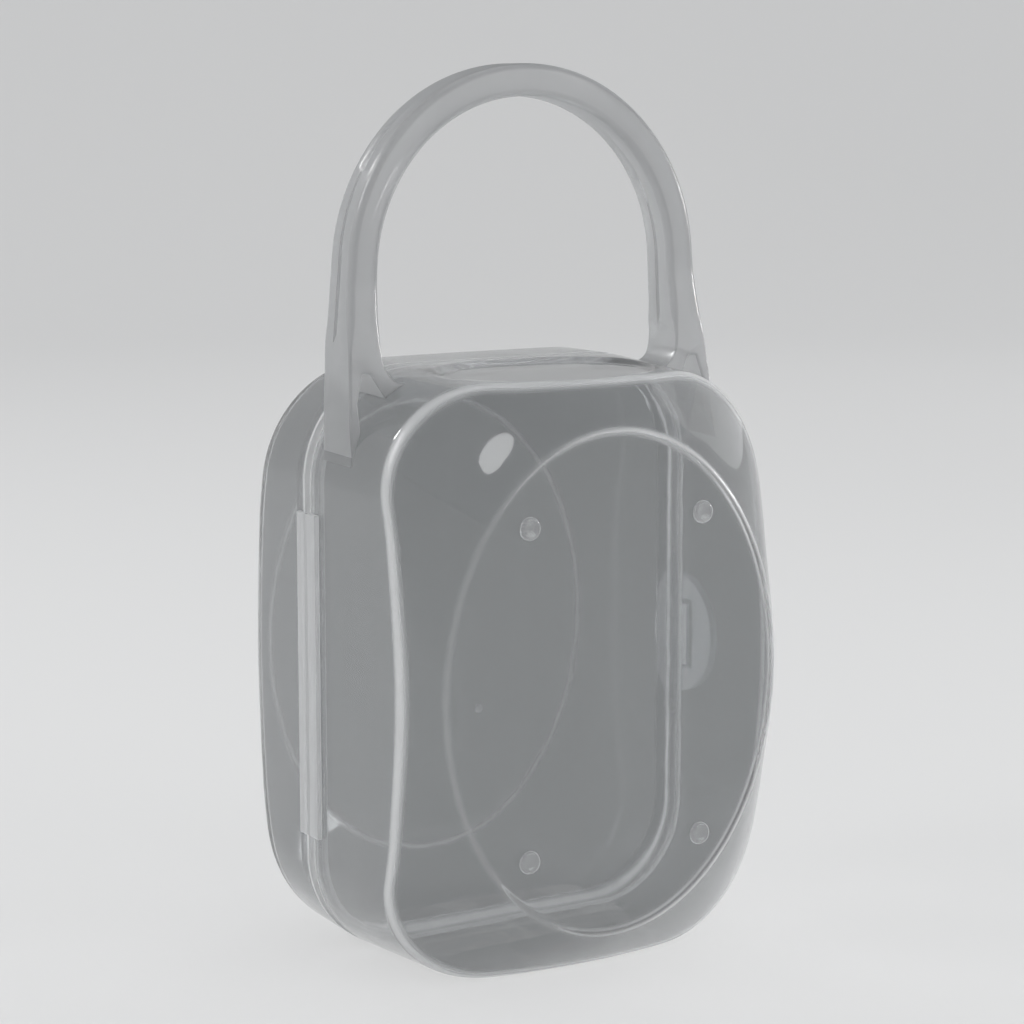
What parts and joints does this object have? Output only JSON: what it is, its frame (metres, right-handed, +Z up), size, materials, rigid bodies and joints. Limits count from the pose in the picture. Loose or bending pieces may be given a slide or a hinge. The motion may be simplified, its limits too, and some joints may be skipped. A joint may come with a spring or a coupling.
{
  "type": "pacifier sterilizer case",
  "caption": "Clear two-shell pacifier sterilizer case with a long living hinge, a half-moon snap latch and an arched carry handle.",
  "frame": {"origin": "on the base, under the middle of the case's depth and width", "axes": "+X to the latch side, +Y to the back shell, +Z up to the handle; the oval face with four pips looks to -Y"},
  "size_m": [0.0832, 0.0669, 0.1593],
  "materials": {
    "pp_wall": "clear clarified polypropylene, glossy",
    "pp_edge": "clear polypropylene, glossy, milky where it is thick",
    "pp_handle": "thick clear polypropylene, slightly milky",
    "pp_latch": "clear polypropylene, fine satin"
  },
  "bodies": {
    "front_case": {"front_shell": "pp_wall", "pip_top_left": "pp_wall", "pip_top_right": "pp_wall", "pip_bottom_left": "pp_wall", "pip_bottom_right": "pp_wall", "handle_arch": "pp_handle", "handle_foot_left": "pp_handle", "handle_foot_right": "pp_handle", "hinge_leaf_front": "pp_edge", "hinge_film": "pp_edge", "catch_bar": "pp_latch"},
    "back_case": {"back_shell": "pp_wall", "seal_lip": "pp_edge", "gate_mark": "pp_wall", "hinge_leaf_back": "pp_edge", "latch_pad": "pp_latch", "latch_film": "pp_latch"},
    "latch": {"latch_tongue": "pp_latch", "latch_rim": "pp_latch"}
  },
  "joints": [
    {"name": "case_hinge", "type": "hinge", "parent": "front_case", "child": "back_case", "pos_m": [-0.041, 0.00422, 0.0524], "axis": [0, 0, 1], "range_deg": [0, 180], "deforming": ["hinge_film"]},
    {"name": "latch_flex", "type": "hinge", "parent": "back_case", "child": "latch", "pos_m": [0.0407, 0.00643, 0.0517], "axis": [0, 0, 1], "range_deg": [0, 20], "stiffness_Nm_per_rad": 0.02, "deforming": ["latch_film"]}
  ]
}
